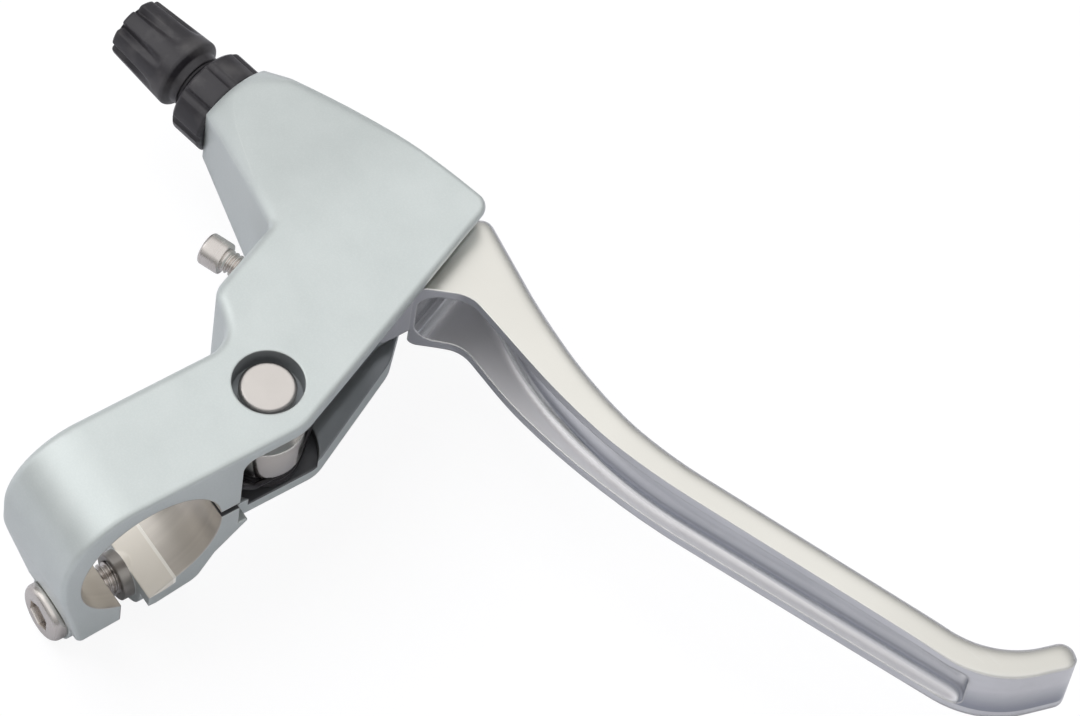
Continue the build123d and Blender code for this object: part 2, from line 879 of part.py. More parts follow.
def fixed_leg():
    """Wire's path from the clamp's slot, falling past the hub to the top of the coil."""
    slot = Vector(clamp_half - slit_depth / 2, clamp_front_y + spring_wire, slit_z)
    coil = Vector(spring_mean_radius, pivot_reach - spring_leg_flat, spring_top_z)
    points = [slot - Vector(0, clamp_wall, 0), slot - Vector(0, clamp_wall / 2, 0)]
    for step in range(leg_steps + 1):
        share = step / leg_steps
        flat = slot + (coil - slot) * share
        points.append(Vector(flat.X, flat.Y, slot.Z + (coil.Z - slot.Z) * ease(share)))
    return points


def moving_leg(start):
    """Wire's path from the bottom of the coil, out under the arm and up into it."""
    along = heading(spring_leave_deg + 90)
    tip = spring_tip()
    leg_z = hub_bottom_z - spring_wire - spring_hook_round / 2
    points = []
    for step in range(1, leg_steps + 1):
        share = step / leg_steps
        flat = start + along * (spring_leg / 2 * share)
        points.append(Vector(flat.X, flat.Y, start.Z + (leg_z - start.Z) * ease(share)))
    low = Vector(tip.X, tip.Y, leg_z)
    points.append(low - along * (2 * spring_hook_round))
    points.append(low - along * (spring_hook_round / 4) + Vector(0, 0, spring_hook_round / 4))
    points.append(low + Vector(0, 0, 2 * spring_hook_round))
    points.append(Vector(tip.X, tip.Y, spring_hook_z))
    return points


def return_spring():
    """Torsion spring under the hub, one leg held in the clamp's slot and one in the lever's arm."""
    sweep_deg = 360 * spring_turns + spring_leave_deg
    fall = spring_pitch * sweep_deg / 360
    points = fixed_leg()
    for step in range(coil_steps + 1):
        share = step / coil_steps
        turn = heading(sweep_deg * share) * spring_mean_radius
        points.append(turn + Vector(0, pivot_reach, spring_top_z - fall * share))
    points += moving_leg(points[-1])
    wire = Polyline(*points)
    section = Plane(origin=wire @ 0, z_dir=wire % 0) * Circle(spring_wire / 2)
    return sweep(section, path=wire, transition=Transition.RIGHT)


def clamp_bolt():
    """Socket-head bolt that draws the clamp's gap together."""
    head_y = lug_rear_y - clamp_bolt_head_height
    head = bolt_rod(clamp_bolt_head_diameter / 2, head_y, lug_rear_y)
    head = fillet(head.edges().sort_by(Axis.Y)[0], clamp_bolt_head_round)
    bolt = head + bolt_rod(clamp_bolt_diameter / 2, lug_rear_y, jaw_front_y)
    bolt = chamfer(bolt.edges().sort_by(Axis.Y)[-1], thread_chamfer)
    start = (clamp_bolt_x, head_y, clamp_bolt_z)
    return bolt - hex_hole(clamp_bolt_hex, start, (0, 1, 0), clamp_bolt_hex_depth)


def reach_screw():
    """Small socket screw whose tip stops the lever's arm."""
    neck = reach_start() - mouth_normal * reach_exposed
    head_start = neck - mouth_normal * reach_head_height
    inside = reach_boss_inset - arm_back_inset - reach_tip_gap
    screw = rod(reach_head_diameter / 2, head_start, mouth_normal, reach_head_height)
    screw = fillet(screw.edges().sort_by(Axis(head_start, mouth_normal))[0], reach_head_round)
    screw += rod(reach_radius, neck, mouth_normal, reach_exposed + inside)
    screw = chamfer(screw.edges().sort_by(Axis(head_start, mouth_normal))[-1], thread_chamfer)
    return screw - hex_hole(reach_hex, head_start, mouth_normal, reach_hex_depth)


def shank(radius, low, high):
    """Cylinder on the adjuster's axis between two distances outside the boss end."""
    return boss_plane * Pos(0, 0, low) * extrude(Circle(radius), high - low)


def knob():
    """Tapered grip of the adjuster, with flutes that run out towards the housing."""
    low = lock_ring_length + knob_neck
    high = low + knob_length
    half = make_face(
        FilletPolyline(
            (0, low),
            (knob_root_radius, low),
            (knob_inner_radius, low + knob_cone),
            (knob_outer_radius, high),
            (0, high),
            radius=[0, knob_root_round, knob_round, knob_end_round, 0],
            close=True,
        )
    )
    body = revolve(Plane.XZ * half, Axis.Z)
    start = Vector(knob_outer_radius + flute_radius - flute_depth, 0, high)
    end = Vector(knob_inner_radius + flute_radius, 0, high - knob_length * flute_share)
    flute = rod(flute_radius, start + (start - end), end - start, 3 * (end - start).length)
    for count in range(knob_flutes):
        body -= Rot(0, 0, 360 * count / knob_flutes) * flute
    return boss_plane * body


def adjuster_barrel():
    """Barrel adjuster: fluted knob, shank in the boss, casing socket and cable hole."""
    top = lock_ring_length + knob_neck + knob_length
    barrel = shank(shank_radius, shank_in_boss - boss_thread_length, top - knob_length / 2) + knob()
    barrel -= shank(casing_socket_radius, top - casing_socket_depth, far)
    return barrel - shank(cable_hole_radius, -far, far)


def adjuster_lock_nut():
    """Notched ring that locks the adjuster against the boss."""
    ring = shank(lock_ring_radius, flat_gap, lock_ring_length)
    ring = chamfer(ring.edges().filter_by(GeomType.CIRCLE), thread_chamfer)
    notch = rod(notch_radius, (lock_ring_radius + notch_radius - notch_depth, 0, -far / 2), (0, 0, 1), far)
    for count in range(lock_ring_notches):
        ring -= boss_plane * (Rot(0, 0, 360 * count / lock_ring_notches) * notch)
    return ring - shank(shank_radius + running_gap, -far, far)


def main():
    """Builds every piece and writes it to its own file."""
    os.makedirs("parts", exist_ok=True)
    pieces = [
        bracket_body,
        lever_blade,
        pivot_pin,
        pivot_clip,
        pivot_bush,
        thrust_washer_upper,
        thrust_washer_lower,
        return_spring,
        clamp_bolt,
        reach_screw,
        adjuster_barrel,
        adjuster_lock_nut,
    ]
    for piece in pieces:
        export_step(piece(), "parts/" + piece.__name__ + ".step")


if __name__ == "__main__":
    main()
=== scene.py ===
# %% [markdown]
# # A bicycle brake lever
# The part is a painted bracket that clamps round a handlebar, a channel-shaped lever on a
# pivot pin, a return spring, a reach screw and a threaded cable adjuster. The solids come
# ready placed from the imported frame, in metres: X runs along the bar towards the grip,
# Y points ahead of the rider, Z is up and is also the way the pivot pin runs.
# This lesson adds the camera, the light, the fine pieces and the finishes.

import bpy
import numpy as np
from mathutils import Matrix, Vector


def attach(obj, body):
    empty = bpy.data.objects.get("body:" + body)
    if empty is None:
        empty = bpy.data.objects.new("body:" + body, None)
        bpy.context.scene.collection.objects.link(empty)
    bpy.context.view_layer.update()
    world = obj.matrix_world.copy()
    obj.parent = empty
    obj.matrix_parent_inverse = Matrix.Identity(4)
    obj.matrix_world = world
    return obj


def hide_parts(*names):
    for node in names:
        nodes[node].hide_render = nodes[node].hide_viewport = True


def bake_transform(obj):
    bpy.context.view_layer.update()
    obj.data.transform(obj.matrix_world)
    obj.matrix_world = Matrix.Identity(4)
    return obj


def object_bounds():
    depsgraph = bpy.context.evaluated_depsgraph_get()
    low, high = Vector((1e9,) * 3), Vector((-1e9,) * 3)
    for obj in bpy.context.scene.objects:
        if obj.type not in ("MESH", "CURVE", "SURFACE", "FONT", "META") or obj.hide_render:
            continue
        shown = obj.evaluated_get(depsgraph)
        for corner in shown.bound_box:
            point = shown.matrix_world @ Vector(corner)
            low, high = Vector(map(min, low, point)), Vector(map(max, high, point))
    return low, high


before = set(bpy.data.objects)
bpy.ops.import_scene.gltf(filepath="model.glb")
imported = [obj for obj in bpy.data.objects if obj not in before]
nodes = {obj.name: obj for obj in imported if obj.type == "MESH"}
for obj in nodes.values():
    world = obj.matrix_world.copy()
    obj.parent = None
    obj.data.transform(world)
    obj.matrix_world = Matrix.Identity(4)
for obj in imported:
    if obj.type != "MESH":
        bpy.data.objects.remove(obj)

solid_box = [list(corner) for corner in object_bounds()]
mm = 0.001
print("solids:", len(nodes), "box:", np.round(np.array(solid_box) / mm, 1).tolist())

# %% [markdown]
# ## The viewpoint
# The part is seen from the rider's side, from above and a little to the right, through a
# long lens, so that the two ends of the blade keep nearly the same scale. A shorter lens
# nearer by would stretch the tip. Place and turn are set as plain numbers, because the
# camera is the one thing in the scene that must never drift.

# %% Camera
lens = bpy.data.cameras.new("viewpoint")
lens.lens = 196.53
lens.sensor_width = 36.0
lens.clip_start = 0.05
camera = bpy.data.objects.new("viewpoint", lens)
camera.location = (0.325186, -0.232251, 0.693684)
camera.rotation_euler = np.radians((31.4778, -5.6995, 56.1913))
bpy.context.scene.collection.objects.link(camera)
bpy.context.scene.camera = camera
bpy.context.scene.view_settings.view_transform = "Standard"
print("camera at", tuple(camera.location))

# %% [markdown]
# ## Node trees in few words
# The light of the set and every finish are trees of nodes. They could be clicked together in the
# shader editor, but then a reader couldn't see why a number is there. A few helpers write them in
# code instead, so that each finish further down reads as a short list of what it is made of.

# %% Helpers for node trees


def plug(tree, socket, value):
    """Links a node's output to the socket, or sets the socket to a plain value."""
    if isinstance(value, bpy.types.NodeSocket):
        tree.links.new(value, socket)
    else:
        socket.default_value = value


def add_node(tree, kind, inputs=None, **properties):
    """Adds a node, sets its properties, and plugs each named or numbered input."""
    node = tree.nodes.new(kind)
    for name, value in properties.items():
        setattr(node, name, value)
    for key, value in (inputs or {}).items():
        plug(tree, node.inputs[key], value)
    return node


def math_node(tree, operation, first, second=0.0, third=0.0):
    """Output of one Math node."""
    inputs = {0: first, 1: second, 2: third}
    return add_node(tree, "ShaderNodeMath", inputs, operation=operation).outputs[0]


def ramp(tree, value, start, end, low=0.0, high=1.0):
    """Runs from low to high while the value runs from start to end, and stays level beyond."""
    limits = {"Value": value, "From Min": start, "From Max": end, "To Min": low, "To Max": high}
    return add_node(tree, "ShaderNodeMapRange", limits).outputs[0]


def split_axes(tree, vector):
    """The three parts of a place or a direction, by the names of their axes."""
    parts = add_node(tree, "ShaderNodeSeparateXYZ", {0: vector}).outputs
    return {axis: parts[axis] for axis in "XYZ"}


def empty_tree(owner):
    """The node tree of a world or material, with nothing in it yet."""
    owner.use_nodes = True
    owner.node_tree.nodes.clear()
    return owner.node_tree


# %% [markdown]
# ## A white tent with a paper floor
# Small metal parts are photographed in a light tent, white all round, on white paper. More light
# would make the paper white too, but it would wash out the part. So the tent shines dimly on the
# part and shows white to the camera and to shiny metal, and the paper answers the camera mostly
# with its own white and keeps a share of true shading, so the shadow stays.

# %% The tent
tent_light = 0.42


def ray_kinds(tree):
    """Two masks: 1 for a ray from the camera, and 1 for a ray that metal or glass sends on."""
    path = add_node(tree, "ShaderNodeLightPath").outputs
    shiny = math_node(tree, "MAXIMUM", path["Is Glossy Ray"], path["Is Transmission Ray"])
    return path["Is Camera Ray"], shiny


world = bpy.data.worlds.new("tent")
bpy.context.scene.world = world
tree = empty_tree(world)
dim = add_node(tree, "ShaderNodeBackground", {"Color": (1, 1, 1, 1), "Strength": tent_light})
white = add_node(tree, "ShaderNodeBackground", {"Color": (1, 1, 1, 1), "Strength": 1.0})
seen = math_node(tree, "MAXIMUM", *ray_kinds(tree))
walls = add_node(tree, "ShaderNodeMixShader", {0: seen, 1: dim.outputs[0], 2: white.outputs[0]})
add_node(tree, "ShaderNodeOutputWorld", {"Surface": walls.outputs[0]})
print("tent lights the part at", tent_light)

# %% The floor
floor_own_white = 0.90
floor_shade = {"camera": 0.12, "shine": 0.60, "light": 0.86}
floor_tint = 1.06
floor_z = solid_box[0][2] - 0.2 * mm


def flat_sheet(name, corners, material):
    """Four-cornered sheet of the set, which isn't part of the object."""
    mesh = bpy.data.meshes.new(name)
    mesh.from_pydata([tuple(corner) for corner in corners], [], [(0, 1, 2, 3)])
    mesh.materials.append(material)
    sheet = bpy.data.objects.new(name, mesh)
    bpy.context.scene.collection.objects.link(sheet)
    return sheet


paper = bpy.data.materials.new("white_paper")
tree = empty_tree(paper)
from_camera, from_shine = ray_kinds(tree)
shade = floor_shade["light"]
for rays, kind in ((from_shine, "shine"), (from_camera, "camera")):
    shade = math_node(tree, "MULTIPLY_ADD", rays, floor_shade[kind] - floor_shade["light"], shade)
cool = math_node(tree, "MULTIPLY", shade, floor_tint)
grey = add_node(tree, "ShaderNodeCombineColor", {0: shade, 1: shade, 2: cool}).outputs[0]
matt = add_node(tree, "ShaderNodeBsdfDiffuse", {"Color": grey})
own = math_node(tree, "MULTIPLY", from_camera, floor_own_white)
glow = add_node(tree, "ShaderNodeEmission", {"Color": (1, 1, 1, 1), "Strength": own})
bright = add_node(tree, "ShaderNodeAddShader", {0: matt.outputs[0], 1: glow.outputs[0]})
add_node(tree, "ShaderNodeOutputMaterial", {"Surface": bright.outputs[0]})

flat_sheet("floor", [(x, y, floor_z) for x, y in ((-3, -3), (3, -3), (3, 3), (-3, 3))], paper)
print("floor at", round(floor_z / mm, 2), "mm")

# %% [markdown]
# ## Cards for the metal to mirror
# Polished metal with nothing dark near it looks like white plastic. A photographer stands cards
# round it; here they are dark at the foot and pale at the top, and a brighter window gives the
# bends their highlight. A texture could fake that shading, but it would stay put when the lever
# moves. Only shiny surfaces see the cards, so they throw no light and no shadow.

# %% A card that glows


def glowing(name, strength_of):
    """Emission whose strength is worked out from the height on the card."""
    material = bpy.data.materials.new(name)
    tree = empty_tree(material)
    height = split_axes(tree, add_node(tree, "ShaderNodeTexCoord").outputs["Object"])["Z"]
    glow = add_node(tree, "ShaderNodeEmission", {"Strength": strength_of(tree, height)})
    add_node(tree, "ShaderNodeOutputMaterial", {"Surface": glow.outputs[0]})
    return material


def graded(top, top_strength, foot_strength=0.22):
    """Dark at the foot, pale at the top."""
    return lambda tree, height: ramp(tree, height, 0.0, top, foot_strength, top_strength)


def card(name, middle, across, up, material):
    """Card about a middle point, spanned by two half-length vectors, seen by shiny surfaces only."""
    middle, across, up = np.array(middle), np.array(across), np.array(up)
    corners = [middle - across - up, middle + across - up, middle + across + up, middle - across + up]
    sheet = flat_sheet(name, corners, material)
    sheet.visible_camera = False
    sheet.visible_diffuse = False
    sheet.visible_shadow = False
    return sheet


# %% Four cards and a window
low_card, tall_card = 0.45, 0.85
window_strength = 1.45
low_grey = glowing("low_card", graded(low_card, 0.75))
tall_grey = glowing("tall_card", graded(tall_card, 0.92))
low_middle, low_up = floor_z + low_card / 2, (0.0, 0.0, low_card / 2)
tall_middle, tall_up = floor_z + tall_card / 2, (0.0, 0.0, tall_card / 2)
card("card_near", (0.10, -0.60, low_middle), (0.60, 0.0, 0.0), low_up, low_grey)
card("card_grip", (0.62, -0.05, low_middle), (0.0, 0.55, 0.0), low_up, low_grey)
card("card_far", (-0.05, 0.62, tall_middle), (0.75, 0.0, 0.0), tall_up, tall_grey)
card("card_left", (-0.66, 0.20, tall_middle), (0.0, 0.45, 0.0), tall_up, tall_grey)
card("window", (-0.52, -0.40, 0.62), (0.18, -0.23, 0.0), (0.15, 0.12, 0.20),
     glowing("window_glow", lambda tree, height: window_strength))
print("four graded cards and a window stand round the part")

# %% [markdown]
# ## Soft lamps
# The tent alone would light the part evenly and flat. One large lamp above and to the left models
# the forms, a weaker one fills the left, and a third lifts the grip's side. A small lamp would be
# simpler, but its shadows are hard. The lamps don't show in the metal, which mirrors the cards.

# %% Lamps


def soft_lamp(name, place, target, side, power):
    """Square soft lamp that faces a target point."""
    lamp = bpy.data.lights.new(name, "AREA")
    lamp.shape = "SQUARE"
    lamp.size = side
    lamp.energy = power
    holder = bpy.data.objects.new(name, lamp)
    aim = Vector(target) - Vector(place)
    holder.location = place
    holder.rotation_euler = aim.to_track_quat("-Z", "Y").to_euler()
    holder.visible_glossy = False
    bpy.context.scene.collection.objects.link(holder)
    return holder


soft_lamp("overhead", (-0.42, -0.12, 0.90), (0, 0.03, 0), 0.8, 7.0)
soft_lamp("left_fill", (-0.95, 0.05, 0.40), (-0.01, 0.02, 0), 0.6, 2.0)
soft_lamp("grip_fill", (0.90, -0.30, 0.35), (0, 0.02, 0), 0.6, 1.1)
print("three soft lamps")

# %% [markdown]
# ## Screws with a real thread
# The clamp bolt and the reach screw are socket screws: a turned head with a six-sided hole, and
# a thread rolled on the shank. The solids have plain shanks. A screw modifier would leave open ends
# at the head, so each screw is one closed skin instead: a stack of rings that starts at the
# floor of the socket, climbs its six walls, crosses the head and runs down the shank, where the
# radius dips with the angle so that the dip winds into a thread.

# %% Faces between rings


def ring_faces(count, around, looped):
    """Corner numbers of the quads between neighbouring rings, and of the fans that close two open ends."""
    rows = np.arange(count if looped else count - 1)
    here, side = np.arange(around), (np.arange(around) + 1) % around
    low, high = rows[:, None] * around, ((rows + 1) % count)[:, None] * around
    quads = np.stack([low + here, low + side, high + side, high + here], -1).reshape(-1, 4)
    if looped:
        return quads, np.zeros((0, 3), int)
    last = (count - 1) * around
    first_fan = np.stack([np.full(around, count * around), side, here], -1)
    last_fan = np.stack([np.full(around, count * around + 1), last + here, last + side], -1)
    return quads, np.concatenate([first_fan, last_fan])


print("three rings of eight points:", [len(faces) for faces in ring_faces(3, 8, False)], "quads and end faces")

# %% One closed skin from a stack of rings


def closed_skin(name, rings, looped=False):
    """Quads between neighbouring rings of an (n, m, 3) stack. A looped stack joins its last ring to its
    first; any other gets a fan from the middle of each end ring. A negative volume turns all faces."""
    quads, fans = ring_faces(*rings.shape[:2], looped)
    points = rings.reshape(-1, 3)
    if not looped:
        points = np.concatenate([points, rings[[0, -1]].mean(axis=1)])
    corner = points[np.concatenate([quads[:, [0, 1, 2]], quads[:, [0, 2, 3]], fans])]
    volume = np.einsum("ij,ij->i", corner[:, 0], np.cross(corner[:, 1], corner[:, 2])).sum() / 6
    if volume < 0:
        quads, fans = quads[:, ::-1], fans[:, ::-1]
    mesh = bpy.data.meshes.new(name)
    mesh.from_pydata(points.tolist(), [], quads.tolist() + fans.tolist())
    mesh.polygons.foreach_set("use_smooth", np.ones(len(mesh.polygons), bool))
    mesh.set_sharp_from_angle(angle=np.radians(38))
    piece = bpy.data.objects.new(name, mesh)
    bpy.context.scene.collection.objects.link(piece)
    print(name, "faces:", len(mesh.polygons), "volume mm3:", round(abs(volume) / mm**3, 2))
    return piece


# %% The thread's form


def rounded_saw(phase):
    """Depth of a thread, 0 to 1, over one pitch: a saw with its crest and root cut flat."""
    return np.clip(1.25 - np.abs(2 * (phase % 1) - 1) * 1.5, 0, 1)


print("thread depth at quarters of a pitch:", rounded_saw(np.linspace(0, 1, 5)).round(2).tolist())

# %% The screw's outline


def screw_outline(head_radius, head_length, head_round, hex_across, hex_depth, radius, length, pitch):
    """Depth and radius from the socket's floor over the head to the tip, with each ring's share of the
    hexagon and of the thread, which fades in below the head."""
    flat = hex_across / 2
    bend = np.linspace(0, np.pi / 2, 9)
    shank = np.arange(head_length + 0.1 * mm, length - 0.5 * mm, pitch / 14)
    depth = [
        [hex_depth + 0.3 * mm, hex_depth, hex_depth, 0.25 * mm, 0.06 * mm, 0.0],
        head_round * (1 - np.cos(bend)),
        [head_length - 0.25 * mm, head_length - 0.06 * mm, head_length, head_length],
        shank,
        [length - 0.4 * mm, length, length],
    ]
    reach = [
        [0.1 * flat, 0.9 * flat, flat, flat, flat + 0.06 * mm, flat + 0.22 * mm],
        head_radius - head_round * (1 - np.sin(bend)),
        [head_radius, head_radius - 0.06 * mm, head_radius - 0.25 * mm, radius],
        np.full(len(shank), radius),
        [radius - 0.1 * mm, radius - 0.45 * mm, 0.2 * radius],
    ]
    six = [[1, 1, 1, 1, 1, 0.85], 0 * bend, np.zeros(4), 0 * shank, np.zeros(3)]
    thread = [np.zeros(6), 0 * bend, np.zeros(4), np.clip((shank - shank[0]) / (0.8 * mm), 0, 1), np.zeros(3)]
    return [np.concatenate(rows)[:, None] for rows in (depth, reach, six, thread)]


# %% The screw's surface


def socket_screw(name, head_face, along, pitch, **sizes):
    """Rings about an axis on the screw's outline. A share blends the circle with a hexagon (apothem over
    cosine of the angle from the nearest flat); on the shank the radius drops by the thread depth times
    a rounded saw of depth over pitch minus angle over one turn."""
    depth, reach, six, thread = screw_outline(pitch=pitch, **sizes)
    angle = np.linspace(0, 2 * np.pi, 96, endpoint=False)
    from_flat = (angle + np.pi / 6) % (np.pi / 3) - np.pi / 6
    form = 1 + six * (1 / np.cos(from_flat) - 1)
    groove = rounded_saw(depth / pitch - angle / (2 * np.pi))
    wide = reach * form - thread * 0.54 * pitch * groove
    along = np.array(along) / np.linalg.norm(along)
    side = np.cross(along, (0.0, 0.0, 1.0))
    lift = np.cross(side, along)
    spoke = np.cos(angle)[:, None] * side + np.sin(angle)[:, None] * lift
    return closed_skin(name, np.array(head_face) + depth[..., None] * along + wide[..., None] * spoke)


# %% Clamp bolt
clamp_bolt = socket_screw(
    "clamp_bolt_threaded", (1.4 * mm, -13.3 * mm, -15.5 * mm), (0, 1, 0), pitch=0.8 * mm, radius=2.5 * mm,
    length=21.5 * mm, head_radius=4.3 * mm, head_length=2.2 * mm, head_round=1.2 * mm,
    hex_across=4.0 * mm, hex_depth=1.5 * mm)
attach(clamp_bolt, "bracket")
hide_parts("clamp_bolt")

# %% Reach screw
mouth_way = (0.92388, 0.382683, 0.0)
reach_face = np.array([-20.096, 33.4, 5.0]) * mm - np.array(mouth_way) * 7.6 * mm
reach_screw = socket_screw(
    "reach_screw_threaded", reach_face, mouth_way, pitch=0.7 * mm, radius=1.7 * mm,
    length=21.0 * mm, head_radius=2.4 * mm, head_length=3.4 * mm, head_round=0.5 * mm,
    hex_across=2.0 * mm, hex_depth=1.6 * mm)
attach(reach_screw, "reach_screw")
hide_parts("reach_screw")

# %% [markdown]
# ## The adjuster's fluted grip
# The barrel adjuster is moulded in one piece: a grip with narrow flutes for the fingers, a threaded
# shank and a socket for the cable's casing. Flutes cut one by one would be eight cuts to keep in step;
# here the grip's radius is lowered by one formula of angle and distance, and the outline runs from
# the cable hole round the outside and back, so the last ring closes on the first.

# %% A rounded outline in small steps


def bent(points, radii, steps=7):
    """Outline of (distance, radius) corners, each rounded by a curve that touches both of its sides."""
    points = np.array(points, float)
    before = points - np.roll(points, 1, axis=0)
    after = np.roll(points, -1, axis=0) - points
    before /= np.linalg.norm(before, axis=1, keepdims=True)
    after /= np.linalg.norm(after, axis=1, keepdims=True)
    half = np.arccos(np.clip(np.einsum("ij,ij->i", before, after), -1, 1)) / 2
    cut = np.array(radii)[:, None] * np.tan(half)[:, None]
    share = np.linspace(0, 1, steps)[None, :, None]
    near, far = (points - cut * before)[:, None], (points + cut * after)[:, None]
    arcs = (1 - share) ** 2 * near + 2 * share * (1 - share) * points[:, None] + share**2 * far
    return arcs.reshape(-1, 2)


def finer(outline, step):
    """The same closed outline with points no further apart than the step."""
    ends = np.concatenate([outline, outline[:1]])
    gaps = np.linalg.norm(np.diff(ends, axis=0), axis=1)
    counts = np.maximum(np.ceil(gaps / step).astype(int), 1)
    index = np.repeat(np.arange(len(outline)), counts)
    first = np.repeat(np.cumsum(counts) - counts, counts)
    share = ((np.arange(counts.sum()) - first) / counts[index])[:, None]
    return ends[index] * (1 - share) + ends[index + 1] * share


square = bent([(0, 0), (9, 0), (9, 9), (0, 9)], [1, 1, 1, 1])
print("a rounded square:", len(square), "points, in steps of 1:", len(finer(square, 1.0)))

# %% The grip and its shank


def fluted_grip(name, boss_end, axis):
    """Rings about the adjuster's axis on a rounded closed outline, in mm. On the grip the radius drops by
    the flute depth, which fades along the grip, times a notch in the arc length from the nearest flute;
    on the shank it drops by a rounded saw of distance over pitch minus angle over one turn."""
    foot, end, pitch, flutes, flute_depth, flute_half_width = 7.2, 20.1, 1.0, 8, 1.05, 0.8
    corners = [(-9.0, 1.2), (11.1, 1.2), (11.1, 2.55), (end, 2.55), (end, 4.8), (foot + 2.0, 5.6),
               (foot + 1.2, 4.4), (foot, 4.2), (foot, 3.88), (-9.0, 3.88)]
    outline = finer(bent(corners, [0.2, 0.1, 0.1, 0.25, 0.6, 0.6, 0.3, 0.1, 0.05, 0.3]), pitch / 8)
    place, reach = outline[:, :1], outline[:, 1:]
    angle = np.linspace(0, 2 * np.pi, 112, endpoint=False)
    from_flute = (angle + np.pi / flutes) % (2 * np.pi / flutes) - np.pi / flutes
    notch = np.clip(1 - np.abs(from_flute) * reach / flute_half_width, 0, 1) ** 0.8
    fade = np.clip((place - foot - 4.0) / (end - foot - 4.0), 0, 1) ** 0.6
    on_grip = (reach > 3.95) & (place > foot + 2.0)
    saw = rounded_saw(place / pitch - angle / (2 * np.pi))
    on_shank = np.clip((foot - 0.3 - place) / 0.4, 0, 1) * np.clip((place + 8.5) / 0.4, 0, 1) * (reach > 3.5)
    wide = reach - on_grip * flute_depth * fade * notch - on_shank * 0.5 * pitch * saw
    axis = np.array(axis)
    side = np.cross((0.0, 0.0, 1.0), axis)
    spoke = np.cos(angle)[:, None] * side + np.sin(angle)[:, None] * np.cross(axis, side)
    rings = np.array(boss_end) + place[..., None] * axis + wide[..., None] * spoke
    return closed_skin(name, rings * mm, looped=True)


grip = fluted_grip("adjuster_barrel_fluted", (-46.0, 47.1, 1.0), (-0.979925, -0.199368, 0.0))
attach(grip, "adjuster_barrel")
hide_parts("adjuster_barrel")

# %% [markdown]
# ## The return spring
# A torsion spring of black wire sits round the pivot under the lever's hub. One leg lies in a slot
# of the clamp, the other presses on the lever's arm, and pulling the lever winds it up. A curve
# with a bevel would do; here the wire is a tube of rings whose path is written as arrays: leg,
# easing, helix, leg and hook, one after the other.

# %% The wire's path
pivot = np.array([0.0, 22.9, 0.0])


def eased(start, end, count):
    """Points from start to end: straight in plan, with the height on half a cosine wave."""
    share = np.linspace(0, 1, count)[:, None]
    line = start + (end - start) * share
    line[:, 2] = start[2] + (end[2] - start[2]) * (1 - np.cos(np.pi * share[:, 0])) / 2
    return line


def wire_path():
    """Centre line in mm and, for each point, a sideways direction that never meets the wire's own: a
    straight leg, an eased lead, a helix that falls evenly with its turn, an eased leg and a bent hook."""
    mean_radius, top, drop, sweep, leg_z = 5.1, -2.55, 1.1, np.radians(757.5), -3.15
    turn = np.linspace(0, sweep, 260)
    coil = pivot + np.stack([mean_radius * np.cos(turn), mean_radius * np.sin(turn),
                             top - drop * turn / (2 * np.pi)], -1)
    fixed = np.array([[5.75, 12.0, 0.9], [5.75, 13.4, 0.9]])
    lead = eased(np.array([5.75, 14.9, 0.9]), np.array([mean_radius, 19.2, top]), 24)
    heading = sweep + np.pi / 2
    ahead, up = np.array([np.cos(heading), np.sin(heading), 0.0]), np.array([0, 0, 1.0])
    climb = (leg_z - coil[-1][2]) * up
    rise = eased(coil[-1] + 0.6 * ahead, coil[-1] + 6.0 * ahead + climb, 24)
    curl = np.linspace(0, np.pi / 2, 9)[:, None]
    corner = coil[-1] + 12.0 * ahead + climb
    hook = corner - 0.9 * ahead + 0.9 * (np.sin(curl) * ahead + (1 - np.cos(curl)) * up)
    end = corner + np.array([[2.0], [2.9], [3.05]]) * up
    line = np.concatenate([fixed, lead[:-1], coil, rise, hook, end])
    out = np.stack([np.cos(turn), np.sin(turn), 0 * turn], -1)
    sideways = np.concatenate([np.tile(out[:1], (len(fixed) + len(lead) - 1, 1)), out,
                               np.tile(out[-1:], (len(rise) + len(hook) + len(end), 1))])
    return line, sideways


line, sideways = wire_path()
print("wire length mm:", round(float(np.linalg.norm(np.diff(line, axis=0), axis=1).sum()), 1))

# %% A tube along the path


def wire_rings(line, sideways, radius, around=16):
    """A circle carried along the line: across is the sideways direction less its share along the wire."""
    ahead = np.gradient(line, axis=0)
    ahead /= np.linalg.norm(ahead, axis=1, keepdims=True)
    across = sideways - np.einsum("ij,ij->i", sideways, ahead)[:, None] * ahead
    across /= np.linalg.norm(across, axis=1, keepdims=True)
    lift = np.cross(ahead, across)
    angle = np.linspace(0, 2 * np.pi, around, endpoint=False)[None, :, None]
    thin = np.full(len(line), radius)
    thin[[0, -1]] *= 0.7
    circle = np.cos(angle) * across[:, None] + np.sin(angle) * lift[:, None]
    return line[:, None] + thin[:, None, None] * circle


spring = closed_skin("return_spring_wire", wire_rings(line, sideways, 0.45) * mm)
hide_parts("return_spring")
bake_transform(spring)

# %% [markdown]
# ## Shared surface effects
# Three effects come back in several finishes, so each is a node group that is built once: the fine
# grain of a sprayed or blasted surface, the rings a lathe leaves, and the hair scratches of
# handling. Copying their nodes into each finish would work too, but a change would then have to be
# made in each. A group takes a place on the object and puts out plain values; the shader stays outside.

# %% An empty group


def new_group(name, inputs, outputs):
    """Empty shader group with float or vector inputs and float outputs."""
    group = bpy.data.node_groups.new(name, "ShaderNodeTree")
    for label, start in inputs.items():
        kind = "NodeSocketVector" if start is None else "NodeSocketFloat"
        socket = group.interface.new_socket(label, in_out="INPUT", socket_type=kind)
        if start is not None:
            socket.default_value = start
    for label in outputs:
        group.interface.new_socket(label, in_out="OUTPUT", socket_type="NodeSocketFloat")
    return group, group.nodes.new("NodeGroupInput").outputs


